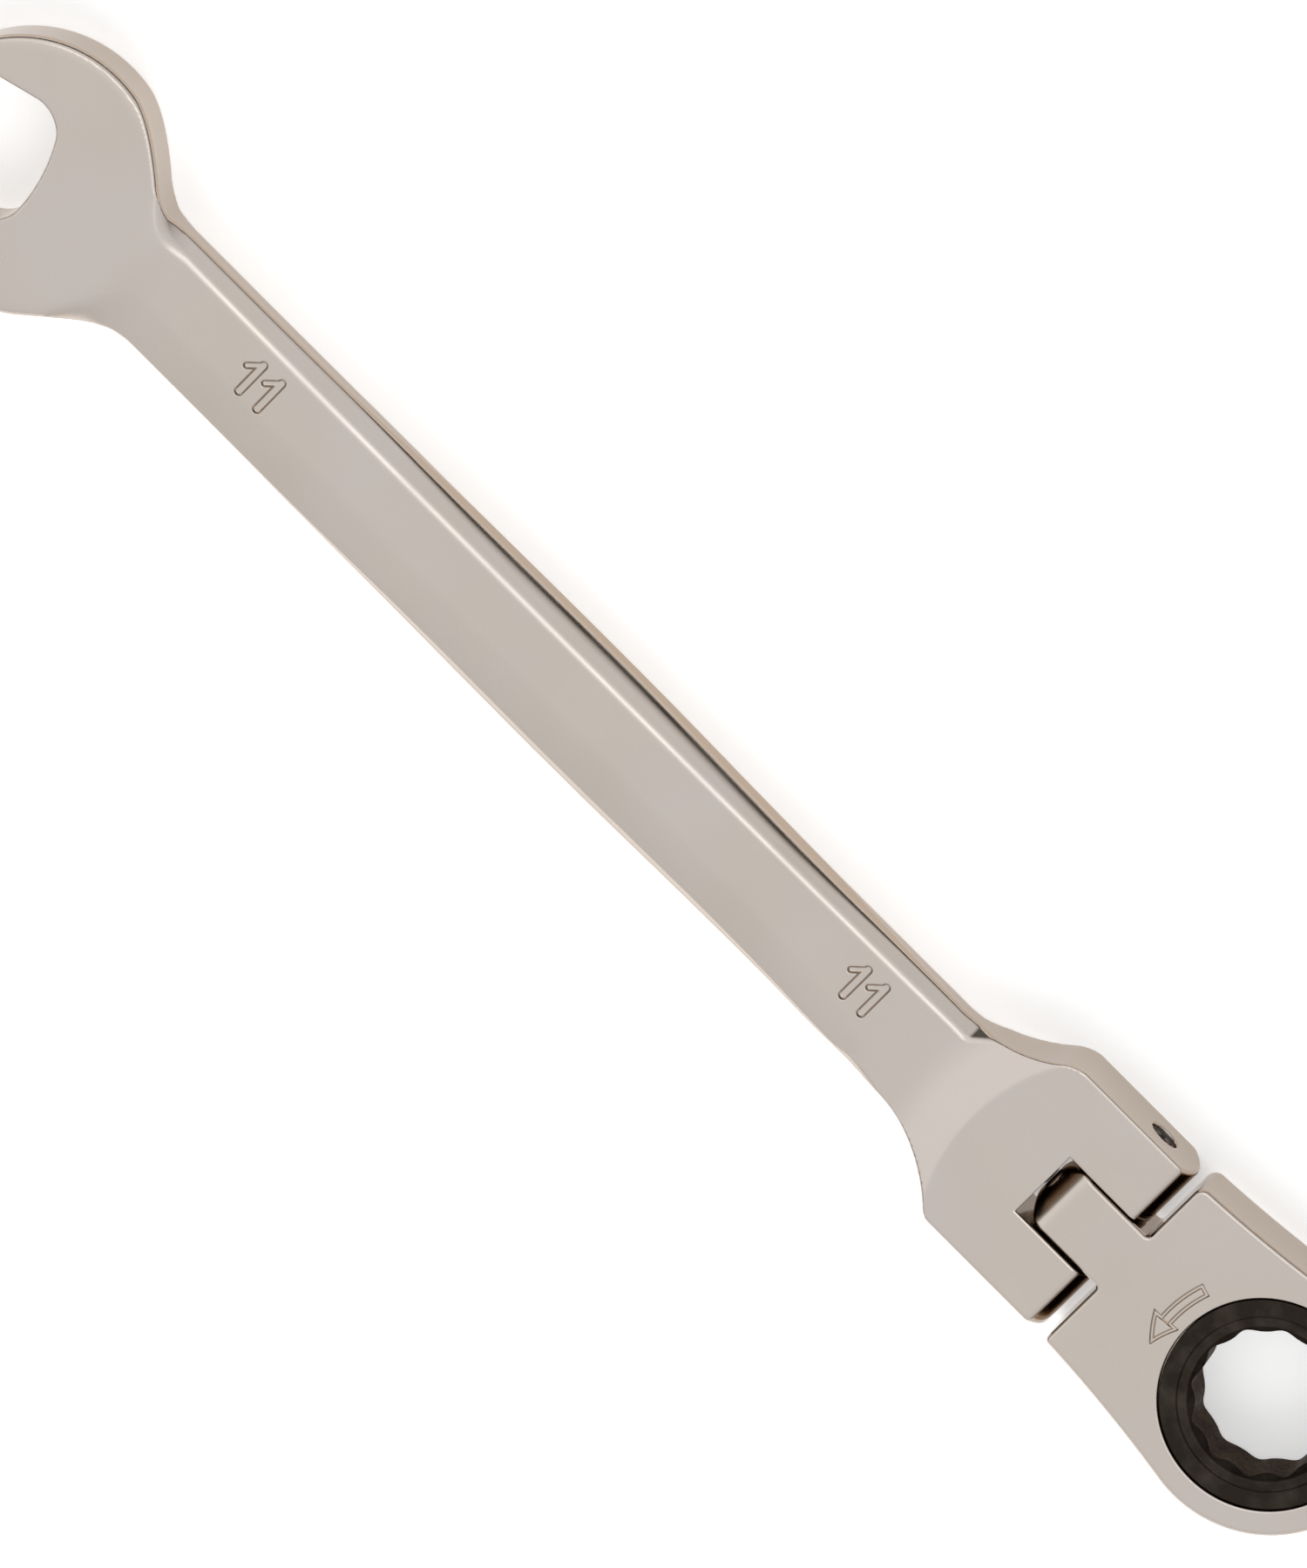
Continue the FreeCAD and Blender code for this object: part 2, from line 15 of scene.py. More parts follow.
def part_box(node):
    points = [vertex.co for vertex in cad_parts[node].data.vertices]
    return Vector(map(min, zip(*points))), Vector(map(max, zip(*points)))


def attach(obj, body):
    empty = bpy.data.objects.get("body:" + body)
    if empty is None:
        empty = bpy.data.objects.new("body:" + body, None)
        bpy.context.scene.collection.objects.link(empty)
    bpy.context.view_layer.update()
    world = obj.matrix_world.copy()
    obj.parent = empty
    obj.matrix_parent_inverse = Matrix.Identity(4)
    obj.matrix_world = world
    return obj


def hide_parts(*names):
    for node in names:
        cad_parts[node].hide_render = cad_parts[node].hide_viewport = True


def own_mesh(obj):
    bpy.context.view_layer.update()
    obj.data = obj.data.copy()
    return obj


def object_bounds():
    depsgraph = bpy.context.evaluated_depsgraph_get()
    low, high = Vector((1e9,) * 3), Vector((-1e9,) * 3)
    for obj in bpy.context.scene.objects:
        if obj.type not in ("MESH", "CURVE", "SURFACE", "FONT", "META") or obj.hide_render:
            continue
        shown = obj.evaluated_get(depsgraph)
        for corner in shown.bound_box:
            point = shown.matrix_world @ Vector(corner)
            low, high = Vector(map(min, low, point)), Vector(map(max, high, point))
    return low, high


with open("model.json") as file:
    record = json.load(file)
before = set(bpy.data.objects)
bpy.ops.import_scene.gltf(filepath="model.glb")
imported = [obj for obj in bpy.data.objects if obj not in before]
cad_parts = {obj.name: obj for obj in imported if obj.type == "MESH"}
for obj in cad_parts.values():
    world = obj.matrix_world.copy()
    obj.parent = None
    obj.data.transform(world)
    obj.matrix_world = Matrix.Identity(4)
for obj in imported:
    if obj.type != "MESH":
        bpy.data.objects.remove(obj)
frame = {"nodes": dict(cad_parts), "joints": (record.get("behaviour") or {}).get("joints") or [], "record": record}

CAD_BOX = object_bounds()
MM = 0.001


def mm_box(part):
    """A CAD part's box in millimetres, as (lowest, highest)."""
    low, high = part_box(part)
    return np.array(low) / MM, np.array(high) / MM


HANDLE_HIGH = mm_box("handle")[1]
HEAD_LOW, HEAD_HIGH = mm_box("ratchet_head")
GEAR_HIGH = mm_box("ring_gear")[1]
JOINTS = {j["name"]: j for j in frame["joints"]}
MOUNTS = {m["name"]: m for m in frame["record"]["mounts"]}
PIN_X = JOINTS["head_tilt"]["pos_m"][0] / MM
HEX_X, HEX_Y = [v / MM for v in MOUNTS["open_jaw"]["pos_m"][:2]]

# Sizes and places are in millimetres, and angles in radians
SIDE_BLEND = 2.0

# Clevis
CLEVIS_HALF_T = HANDLE_HIGH[2]
CLEVIS_HALF_W = 9.12
CLEVIS_CORNER_R = 0.675
CLEVIS_CORNER_CHANGE = 0.225
EAR_END_X = HANDLE_HIGH[0]
EAR_CORNER_BACK = 1.25
EAR_EDGE_R = 0.35
EAR_HOLE_R = 1.35
SLOT_HALF_W = 3.2
SLOT_END_X = PIN_X - 4.49
SLOT_BOW = 0.3
SLOT_EDGE_R = 0.15
PLUNGER_HOLE_R = 1.25
PLUNGER_HOLE_DEPTH = 6.2
FACE_ARC_X = PIN_X + 4.96
FACE_ARC_R = 17.0
FACE_SLOPE = math.radians(18.5)
FACE_BEND = 0.07
FOOT_BEND = 0.6
FLARE_X = -40.0
FLARE_R = 13.6

# Shank
SHANK_HALF_T = 2.1
SHANK_NARROW_W = 4.9
SHANK_MIDDLE_W = 5.62
SHANK_JAW_W = 5.02
SHANK_MIDDLE_X = -80.0
TAPER_TO_CLEVIS = 44.0
TAPER_TO_JAW = 38.0
BEVEL_HALF_W = 3.3
BEVEL_MIDDLE_X = -85.0
BEVEL_SPREAD = 0.25
BEVEL_SPREAD_LENGTH = 42.0
BEVEL_ANGLE = math.radians(29)
BEVEL_TURN = math.radians(3)
BEVEL_TURN_LENGTH = 26.0
BEVEL_NECK_X = -127.7
BEVEL_NECK_CHANGE = -0.7
NECK_RUN_OUT = 3.4
NECK_RUN_OUT_LENGTH = 4.2
BACK_RUN_OUT_X = -54.0
BACK_RUN_OUT = 2.0
BACK_RUN_OUT_LENGTH = 12.0
BEVEL_END_X = -38.2
END_WALL_FLAT = 0.445
END_WALL_UP = 0.72
END_WALL_R = 0.1
EDGE_R = 0.2
RIDGE_X = -76.0
RIDGE_LENGTH = 26.0
RIDGE_R = 1.1
CROWN_END_X = -39.0
CROWN_END_LENGTH = 5.0
CROWN_R = 1.1
CROWN_BLEND = 1.5

# Open end
DISC_FROM_HEX = (5.375, 0.82)
JAW_CENTRE = (HEX_X + DISC_FROM_HEX[0], HEX_Y + DISC_FROM_HEX[1])
JAW_R = 11.5
JAW_HALF_T = 2.9
JAW_FACE_R = 10.3
JAW_SLOPE = 4.5
JAW_LEAN = math.radians(15)
JAW_EDGE_X = -126.0
JAW_EDGE_LENGTH = 8.0
JAW_EDGE_R = 0.3
HEX_HALF = 5.5
THROAT_BACK = 0.9
THROAT_BOW = 0.4
THROAT_CORNER_R = 2.2
GAP_SHIFT = 0.6
GAP_EDGE_R = 0.25
CHEEK_X = -132.5
CHEEK_HALF_W = 6.55
CHEEK_LEAN = math.atan(0.8)
CHEEK_CORNER_R = 1.0
NECK_R = 3.0
NECK_R_CHANGE = -1.6
JAW_REACH = 10.5
JAW_TIP_R = 0.8

# Size numbers, counted from the middle of each
NUMBER_XS = (-115.4, -46.4)
DIGIT_HALF_PITCH = 1.03
DIGIT_FOOT_Y = -1.1
DIGIT_TOP_Y = 1.85
FLAG_REACH = 1.0
FLAG_END_Y = 0.9
FLAG_THINNER = 0.09
DIGIT_HALF_STROKE = 0.46
DIGIT_WALL = 0.26
DIGIT_DEPTH = 0.22

# Head
HEAD_HALF_T = HEAD_HIGH[2]
HEAD_EDGE_R = 0.4
RING_R = HEAD_HIGH[0]
SHOULDER_X = PIN_X + 4.86
SHOULDER_HALF_W = 9.27
SHOULDER_SPREAD = 0.0431
SHOULDER_BOW = 0.00412
SHOULDER_CORNER_R = 0.7
SHOULDER_CORNER_CHANGE = 0.25
SHOULDER_END_X = -2.2
TANG_HALF_W = 3.0
TANG_END_R = PIN_X - HEAD_LOW[0]
TANG_END_X = HEAD_LOW[0]
TANG_EDGE_R = 0.3
TANG_CORNER = 1.1
TANG_CORNER_R = 0.5
TANG_ROOT_X = -9.0
TANG_ROOT_R = 0.35
TANG_HOLE_R = 1.38
TANG_HOLE_EDGE_R = 0.1
FLANGE_BORE_R = 8.8
FLANGE_SEAT_Z = 2.05
TOOTH_BORE_R = 8.3
LIP_BORE_R = 7.7
LIP_TOP_Z = -2.05
LIP_BOTTOM_Z = -2.55
BORE_EDGE_R = 0.2
POCKET_HALF_W = 3.4
POCKET_HALF_T = 1.85
POCKET_END_X = -12.9
SPRING_HOLE_R = 1.15
PAWL_SPRING_X = -16.7
RING_MIDDLE_X = -5.0

# Direction arrow, bent round the drive axis
ARROW_R = 10.5
ARROW_SHAFT_HALF_W = 0.42
ARROW_SHAFT_MIDDLE = -1.1
ARROW_SHAFT_HALF_LENGTH = 2.15
ARROW_TIP_START = 0.9
ARROW_TIP_END = 2.95
ARROW_TIP_SLOPE = 1.05 / 2.05
ARROW_HALF_STROKE = 0.24
ARROW_WALL = 0.22
ARROW_DEPTH = 0.16

# Gear
GEAR_HALF_T = GEAR_HIGH[2]
GEAR_R = GEAR_HIGH[0]
GEAR_EDGE_R = 0.12
FLANGE_MIDDLE_Z = 2.75
FLANGE_HALF_T = 0.65
TEETH = 72
TOOTH_TIP_R = 8.2
TOOTH_RISE = 0.9
TOOTH_FLANK = 0.62
TOOTH_MIDDLE_Z = 0.05
TOOTH_HALF_T = 2.05
JOURNAL_R = 7.6
CLIP_GROOVE_R = 7.2
CLIP_GROOVE_Z = -2.875
CLIP_GROOVE_HALF_T = 0.275
LOBES = 12
LOBE_MEAN_R = 6.05
LOBE_RISE = 0.2
LOBE_ROUNDING = 0.035
LOBE_EDGE_R = 0.08
STEP_R = 7.35
STEP_WALL = 0.2
STEP_DEPTH = 0.16
CHAMFER_R = 6.62
CHAMFER_RISE = 0.9
CHAMFER_EDGE_R = 0.06

# Springs
WIRE_R = 0.2
COIL_PITCH = 0.95
COIL_STEPS = 160
WIRE_SIDES = 10
DETENT_SPRING_X = SLOT_END_X - PLUNGER_HOLE_DEPTH

# Meshing
BISECTIONS = 12
GRADIENT_REACH = 1e-4
SHORTEST = 1e-9
PULL_TO_MEAN = 0.03
CREASE_INSET = 0.12
DEEP_INSIDE = -9.0

# Stage, in metres, with the camera's sensor in millimetres
VIEW_TILT = math.radians(16.0)
VIEW_DISTANCE = 1.3
FRAME_HEIGHT = 0.12685
SENSOR = 36.0
TARGET = Vector((-0.0703, -0.0004, 0.0))
FLOOR_X = -0.07
FLOOR_HALF = 1.6
FLOOR_GAP = 0.00003
CEILING = (0.7, 0.695, 0.69)
FLOOR_GLOW = (0.9, 0.9, 0.9)


# Distance formulas


def cut_round(a, b, r):
    """What is inside both a and b, with their edge rounded to radius r."""
    u = np.maximum(a + r, 0)
    v = np.maximum(b + r, 0)
    return np.minimum(np.maximum(a, b), -r) + np.hypot(u, v)


def join_round(a, b, r):
    """What is inside a or b, with a fillet of radius r between them."""
    return -cut_round(-a, -b, r)


def cut_in(a, b):
    """For a pocket that is where both a and b are positive: positive inside it."""
    return np.minimum(a, b)


def soft_step(t):
    t = np.clip(t, 0, 1)
    return t * t * (3 - 2 * t)


def soft_ramp(t, width):
    """max(t, 0) with a bend as wide as width on each side of 0."""
    bend = (t + width) ** 2 / (4 * width)
    return np.where(t > width, t, np.where(t < -width, 0, bend))


def by_side(y, middle, change):
    """A value that goes from middle - change on the -Y side to middle + change on the +Y side."""
    return middle + change * np.tanh(y / SIDE_BLEND)


def run_out(t, amount, length):
    """Grows with the square of t from 0, to amount at length."""
    return amount * (np.maximum(t, 0) / length) ** 2


def stroke(x, y, a, b):
    """Distance in the plane from the stretch between a and b."""
    dx, dy = b[0] - a[0], b[1] - a[1]
    t = np.clip(((x - a[0]) * dx + (y - a[1]) * dy) / (dx * dx + dy * dy), 0, 1)
    return np.hypot(x - a[0] - t * dx, y - a[1] - t * dy)


def shank_half_width(x):
    """Widest in the middle, a little narrower towards each end."""
    t = x - SHANK_MIDDLE_X
    to_clevis = (SHANK_MIDDLE_W - SHANK_NARROW_W) * soft_step(t / TAPER_TO_CLEVIS)
    to_jaw = (SHANK_MIDDLE_W - SHANK_JAW_W) * soft_step(-t / TAPER_TO_JAW)
    return SHANK_MIDDLE_W - to_clevis - to_jaw


def jaw_axes(x, y):
    """Place in the jaw's own directions: out through the mouth, and across it."""
    dx, dy = x - JAW_CENTRE[0], y - JAW_CENTRE[1]
    c, s = math.cos(JAW_LEAN), math.sin(JAW_LEAN)
    return -c * dx - s * dy, -s * dx + c * dy


def handle_plan(x, y):
    """The outline seen from above, without the jaw's gap and the slot."""
    side = np.abs(y)
    shank = side - shank_half_width(np.minimum(x, FLARE_X))
    flare = FLARE_R - np.hypot(x - FLARE_X, side - SHANK_NARROW_W - FLARE_R)
    beyond = np.where(side < SHANK_NARROW_W + FLARE_R, flare, side - CLEVIS_HALF_W)
    shank = np.where(x < FLARE_X, shank, beyond)
    corner_r = by_side(y, CLEVIS_CORNER_R, CLEVIS_CORNER_CHANGE)
    body = cut_round(shank, side - CLEVIS_HALF_W, corner_r)
    body = np.maximum(body, JAW_CENTRE[0] - x)
    disc = np.hypot(x - JAW_CENTRE[0], y - JAW_CENTRE[1]) - JAW_R
    cheek = math.cos(CHEEK_LEAN) * (y - CHEEK_HALF_W) + math.sin(CHEEK_LEAN) * (x - CHEEK_X)
    disc = cut_round(disc, cheek, CHEEK_CORNER_R)
    return join_round(disc, body, by_side(y, NECK_R, NECK_R_CHANGE))


def handle_top(x, y):
    """Half thickness: the jaw, the shank, and the slope up to the clevis face."""
    r_jaw = np.hypot(x - JAW_CENTRE[0], y - JAW_CENTRE[1])
    jaw_rise = JAW_HALF_T - SHANK_HALF_T
    jaw = SHANK_HALF_T + jaw_rise * soft_step((JAW_FACE_R + JAW_SLOPE - r_jaw) / JAW_SLOPE)
    r_face = np.hypot(x - FACE_ARC_X, y)
    slope = CLEVIS_HALF_T - (r_face - FACE_ARC_R) * math.tan(FACE_SLOPE)
    rise = SHANK_HALF_T + soft_ramp(slope - SHANK_HALF_T, FOOT_BEND)
    clevis = CLEVIS_HALF_T - soft_ramp(CLEVIS_HALF_T - rise, FACE_BEND)
    return np.where(x < SHANK_MIDDLE_X, jaw, clevis)


def bevel_half_width(x, y):
    """Where the face gives way to the bevel. It runs out at the jaw's neck, and on -Y at the clevis."""
    neck_x = by_side(y, BEVEL_NECK_X, BEVEL_NECK_CHANGE)
    at_neck = run_out(neck_x - x, NECK_RUN_OUT, NECK_RUN_OUT_LENGTH)
    at_clevis = np.where(y < 0, run_out(x - BACK_RUN_OUT_X, BACK_RUN_OUT, BACK_RUN_OUT_LENGTH), 0)
    spread = BEVEL_SPREAD * ((x - BEVEL_MIDDLE_X) / BEVEL_SPREAD_LENGTH) ** 2
    return BEVEL_HALF_W + spread + at_neck + at_clevis


def bevel(x, y, z, top):
    """How far outside the shank's bevels a point is. They stop at a wall at the clevis."""
    side, up = np.abs(y), np.abs(z) - top
    angle = BEVEL_ANGLE + BEVEL_TURN * soft_step((x - SHANK_MIDDLE_X) / BEVEL_TURN_LENGTH)
    flat = np.sin(angle) * (side - bevel_half_width(x, y)) + np.cos(angle) * up
    end = END_WALL_FLAT * (BEVEL_END_X - x + side - BEVEL_HALF_W) + END_WALL_UP * up
    return join_round(flat, end, END_WALL_R)


def groove(distance, half_width, wall, depth):
    """Depth of a stamped line at a distance from its middle."""
    return depth * soft_step((half_width - distance) / wall)


def digit(x, y, centre):
    """A stamped figure 1: an upright stem and a short flag."""
    stem = stroke(x, y, (centre, DIGIT_FOOT_Y), (centre, DIGIT_TOP_Y))
    flag = stroke(x, y, (centre, DIGIT_TOP_Y), (centre - FLAG_REACH, FLAG_END_Y))
    return np.minimum(stem, flag + FLAG_THINNER)


def number(x, y):
    shifts = (-DIGIT_HALF_PITCH, DIGIT_HALF_PITCH)
    marks = [digit(x, y, centre + shift) for centre in NUMBER_XS for shift in shifts]
    return np.minimum.reduce(marks)


def forging(x, y, z):
    """The handle before machining: edges broad and crowned on the shank, crisp at the clevis."""
    stamped = groove(number(x, y), DIGIT_HALF_STROKE, DIGIT_WALL, DIGIT_DEPTH)
    top = handle_top(x, y) - np.where(z > 0, stamped, 0)
    jaw_part = soft_step((JAW_EDGE_X - x) / JAW_EDGE_LENGTH)
    ridge = np.exp(-(((x - RIDGE_X) / RIDGE_LENGTH) ** 4))
    side = cut_round(handle_plan(x, y), bevel(x, y, z, top), EDGE_R + RIDGE_R * ridge)
    shank_part = soft_step((CROWN_END_X - x) / CROWN_END_LENGTH)
    crowned = 0.5 * (1.0 - np.tanh(y / CROWN_BLEND)) * shank_part * (1.0 - jaw_part)
    edge_r = EDGE_R + JAW_EDGE_R * jaw_part + CROWN_R * crowned
    return cut_round(side, np.abs(z) - top, edge_r)


def machine_clevis(body, x, y, z):
    """Rounds the ears, and cuts the slot, the pin's hole and the plunger's hole."""
    ear_r = (CLEVIS_HALF_T ** 2 + EAR_CORNER_BACK ** 2) / (2 * EAR_CORNER_BACK)
    ear_x = EAR_END_X - ear_r
    ear = np.where(x > ear_x, np.hypot(x - ear_x, z), np.abs(z)) - ear_r
    body = cut_round(body, ear, EAR_EDGE_R)
    slot_x = SLOT_END_X + SLOT_BOW * (z / CLEVIS_HALF_T) ** 2
    body = cut_round(body, cut_in(SLOT_HALF_W - np.abs(y), x - slot_x), SLOT_EDGE_R)
    body = cut_round(body, EAR_HOLE_R - np.hypot(x - PIN_X, z), SLOT_EDGE_R)
    hole = cut_in(PLUNGER_HOLE_R - np.hypot(y, z), x - DETENT_SPRING_X)
    return np.maximum(body, np.where(x < PIN_X, hole, DEEP_INSIDE))


def handle_shape(x, y, z):
    body = machine_clevis(forging(x, y, z), x, y, z)
    out, across = jaw_axes(x, y)
    across = across - GAP_SHIFT
    throat = THROAT_BACK + THROAT_BOW * (1.0 - (across / (HEX_HALF - THROAT_CORNER_R)) ** 2)
    gap = cut_round(np.abs(across) - HEX_HALF, -throat - out, THROAT_CORNER_R)
    body = cut_round(body, -gap, GAP_EDGE_R)
    return cut_round(body, out - JAW_REACH, JAW_TIP_R)


def head_plan(x, y):
    side = np.abs(y)
    t = x - SHOULDER_X
    half_w = SHOULDER_HALF_W + SHOULDER_SPREAD * t + SHOULDER_BOW * t * t
    shoulder = cut_round(side - half_w, -t, by_side(y, SHOULDER_CORNER_R, SHOULDER_CORNER_CHANGE))
    shoulder = np.maximum(shoulder, x - SHOULDER_END_X)
    ring = np.hypot(x, y) - RING_R
    tang = np.maximum(side - TANG_HALF_W, x - TANG_ROOT_X)
    return join_round(np.minimum(ring, shoulder), tang, TANG_ROOT_R)


def arrow(x, y):
    """The direction arrow's outline, with its point towards -Y."""
    along = ARROW_R * np.arctan2(-y, -x)
    across = np.abs(np.hypot(x, y) - ARROW_R)
    ends = np.abs(along - ARROW_SHAFT_MIDDLE) - ARROW_SHAFT_HALF_LENGTH
    shaft = np.maximum(across - ARROW_SHAFT_HALF_W, ends)
    slant = (across - (ARROW_TIP_END - along) * ARROW_TIP_SLOPE) / math.hypot(1, ARROW_TIP_SLOPE)
    return np.minimum(shaft, np.maximum(slant, ARROW_TIP_START - along))


def head_blank(x, y, z):
    """The housing before boring: ring, shoulder and round-ended tang, with the arrow stamped in."""
    stamped = groove(np.abs(arrow(x, y)), ARROW_HALF_STROKE, ARROW_WALL, ARROW_DEPTH)
    top = HEAD_HALF_T - np.where(z > 0, stamped, 0)
    body = cut_round(head_plan(x, y), np.abs(z) - top, HEAD_EDGE_R)
    cap = np.where(x < PIN_X, np.hypot(x - PIN_X, z), np.abs(z)) - TANG_END_R
    body = cut_round(body, cap, TANG_EDGE_R)
    corner = np.abs(y) - TANG_HALF_W + TANG_END_X + TANG_CORNER - x
    return cut_round(body, corner * math.sqrt(0.5), TANG_CORNER_R)


def head_shape(x, y, z):
    body = head_blank(x, y, z)
    r = np.hypot(x, y)
    body = cut_round(body, cut_in(FLANGE_BORE_R - r, z - FLANGE_SEAT_Z), BORE_EDGE_R)
    body = cut_round(body, cut_in(FLANGE_BORE_R - r, LIP_BOTTOM_Z - z), BORE_EDGE_R)
    body = np.maximum(body, cut_in(TOOTH_BORE_R - r, z - LIP_TOP_Z))
    body = np.maximum(body, LIP_BORE_R - r)
    pocket = cut_in(POCKET_HALF_W - np.abs(y), POCKET_HALF_T - np.abs(z))
    pocket = cut_in(pocket, x - POCKET_END_X)
    spring_hole = cut_in(SPRING_HOLE_R - np.hypot(y, z), x - PAWL_SPRING_X)
    inside = np.maximum(pocket, spring_hole)
    body = np.maximum(body, np.where(x < RING_MIDDLE_X, inside, DEEP_INSIDE))
    return cut_round(body, TANG_HOLE_R - np.hypot(x - PIN_X, z), TANG_HOLE_EDGE_R)


def gear_blank(x, y, z):
    """The gear before boring: flange, ratchet teeth, and journal with the clip's groove."""
    r = np.hypot(x, y)
    flange = cut_round(r - GEAR_R, np.abs(z - FLANGE_MIDDLE_Z) - FLANGE_HALF_T, GEAR_EDGE_R)
    phase = np.arctan2(y, x) * TEETH / (2 * math.pi)
    saw = np.abs(phase - np.floor(phase) - 0.5)
    tooth = (r - TOOTH_TIP_R + TOOTH_RISE * saw) * TOOTH_FLANK
    band = np.maximum(tooth, np.abs(z - TOOTH_MIDDLE_Z) - TOOTH_HALF_T)
    journal = cut_round(r - JOURNAL_R, -GEAR_HALF_T - z, GEAR_EDGE_R)
    journal = np.maximum(journal, z)
    clip_groove = np.maximum(CLIP_GROOVE_R - r, np.abs(z - CLIP_GROOVE_Z) - CLIP_GROOVE_HALF_T)
    return np.minimum(np.minimum(flange, band), np.maximum(journal, -clip_groove))


def gear_shape(x, y, z):
    r = np.hypot(x, y)
    wave = np.cos(LOBES * np.arctan2(y, x))
    lobe = LOBE_MEAN_R + LOBE_RISE * wave - LOBE_ROUNDING * (1 - wave * wave)
    step = STEP_DEPTH * soft_step((STEP_R - r) / STEP_WALL)
    top = GEAR_HALF_T - np.where(z > 0, step, 0)
    body = np.maximum(gear_blank(x, y, z), np.abs(z) - top)
    body = cut_round(body, lobe - r, LOBE_EDGE_R)
    chamfer = CHAMFER_R - (GEAR_HALF_T - np.abs(z)) * CHAMFER_RISE - r
    return cut_round(body, chamfer / math.hypot(1, CHAMFER_RISE), CHAMFER_EDGE_R)


# Meshing


def gradient(shape, p):
    """Which way shape grows at the points p, from its values a little to each side."""
    parts = []
    for axis in range(3):
        step = np.zeros(3)
        step[axis] = GRADIENT_REACH
        a = shape(*(p + step).T)
        b = shape(*(p - step).T)
        parts.append((a - b) / (2 * GRADIENT_REACH))
    return np.stack(parts, 1)


def unit(v):
    return v / np.maximum(np.linalg.norm(v, axis=-1, keepdims=True), SHORTEST)


def find_crossings(shape, axes, d, axis):
    """Where the surface crosses grid lines along an axis: grid place, point, and if it faces up the axis."""
    low = [slice(None)] * 3
    high = [slice(None)] * 3
    low[axis] = slice(None, -1)
    high[axis] = slice(1, None)
    inside = d < 0
    at = np.argwhere(inside[tuple(low)] != inside[tuple(high)])
    outward = inside[tuple(low)][tuple(at.T)]
    p = np.stack([axes[k][at[:, k]] for k in range(3)], 1)
    near = p[:, axis].copy()
    far = axes[axis][at[:, axis] + 1]
    for _ in range(BISECTIONS):
        middle = (near + far) / 2
        p[:, axis] = middle
        same = (shape(*p.T) < 0) == outward
        near = np.where(same, middle, near)
        far = np.where(same, far, middle)
    p[:, axis] = (near + far) / 2
    return at, p, outward


def cell_points(cells, ids, corners, normals):
    """For each grid cell, the point nearest to the surface's tangent planes where its crossings are."""
    count = np.bincount(ids, minlength=cells)
    mean = np.stack([np.bincount(ids, corners[:, k], cells) for k in range(3)], 1)
    mean /= np.maximum(count, 1)[:, None]
    offset = ((corners - mean[ids]) * normals).sum(1)
    matrix = np.empty((cells, 3, 3))
    side = np.empty((cells, 3))
    for i in range(3):
        side[:, i] = np.bincount(ids, normals[:, i] * offset, cells)
        for j in range(3):
            matrix[:, i, j] = np.bincount(ids, normals[:, i] * normals[:, j], cells)
    matrix += np.eye(3) * PULL_TO_MEAN
    return mean + np.linalg.solve(matrix, side[:, :, None])[:, :, 0]


def net(shape, xs, ys, zs):
    """Points and quads of the surface where shape is 0: one point in each grid cell that it crosses."""
    axes = (xs, ys, zs)
    d = shape(xs[:, None, None], ys[None, :, None], zs[None, None, :])
    shape_cells = np.array(d.shape) - 1
    keys, places, directions, quads = [], [], [], []
    for axis in range(3):
        at, p, outward = find_crossings(shape, axes, d, axis)
        n = unit(gradient(shape, p))
        u, v = (axis + 1) % 3, (axis + 2) % 3
        ring = []
        for du, dv in ((-1, -1), (0, -1), (0, 0), (-1, 0)):
            cell = at.copy()
            cell[:, u] += du
            cell[:, v] += dv
            ring.append(np.ravel_multi_index(tuple(cell.T), shape_cells))
        quad = np.stack(ring, 1)
        quads.append(np.where(outward[:, None], quad, quad[:, ::-1]))
        keys.append(quad.T.ravel())
        places.append(np.tile(p, (4, 1)))
        directions.append(np.tile(n, (4, 1)))
    used, ids = np.unique(np.concatenate(keys), return_inverse=True)
    points = cell_points(len(used), ids, np.concatenate(places), np.concatenate(directions))
    index = np.stack(np.unravel_index(used, shape_cells), 1)
    low = np.stack([axes[k][index[:, k]] for k in range(3)], 1)
    high = np.stack([axes[k][index[:, k] + 1] for k in range(3)], 1)
    points = np.clip(points, low, high)
    return points, np.searchsorted(used, np.concatenate(quads))


def corner_normals(shape, points, quads):
    """Each quad corner's normal is taken a little inside its quad, so creases stay sharp."""
    corners = points[quads]
    inward = corners + CREASE_INSET * (corners.mean(1, keepdims=True) - corners)
    return unit(gradient(shape, inward.reshape(-1, 3)))


def add_object(name, data):
    """A new object in the scene."""
    made = bpy.data.objects.new(name, data)
    bpy.context.scene.collection.objects.link(made)
    return made


def mesh_piece(name, part, shape, xs, ys, zs, material):
    """A mesh of shape, kept inside the box of the part it stands for."""
    points, quads = net(shape, xs, ys, zs)
    points = np.clip(points, *mm_box(part))
    normals = corner_normals(shape, points, quads)
    mesh = bpy.data.meshes.new(name)
    mesh.vertices.add(len(points))
    mesh.vertices.foreach_set("co", (points * MM).ravel())
    mesh.loops.add(quads.size)
    mesh.loops.foreach_set("vertex_index", quads.ravel().astype(np.int32))
    mesh.polygons.add(len(quads))
    mesh.polygons.foreach_set("loop_start", np.arange(0, quads.size, 4, dtype=np.int32))
    mesh.update(calc_edges=True)
    mesh.shade_smooth()
    mesh.normals_split_custom_set(normals)
    mesh.materials.append(material)
    return add_object(name, mesh)


def spaced(*stretches):
    """Grid lines: each stretch is (start, end, step)."""
    lines = []
    for start, end, step in stretches:
        n = max(1, round((end - start) / step))
        lines.append(np.linspace(start, end, n, endpoint=False))
    lines.append(np.array([stretches[-1][1]]))
    return np.concatenate(lines)


# Materials

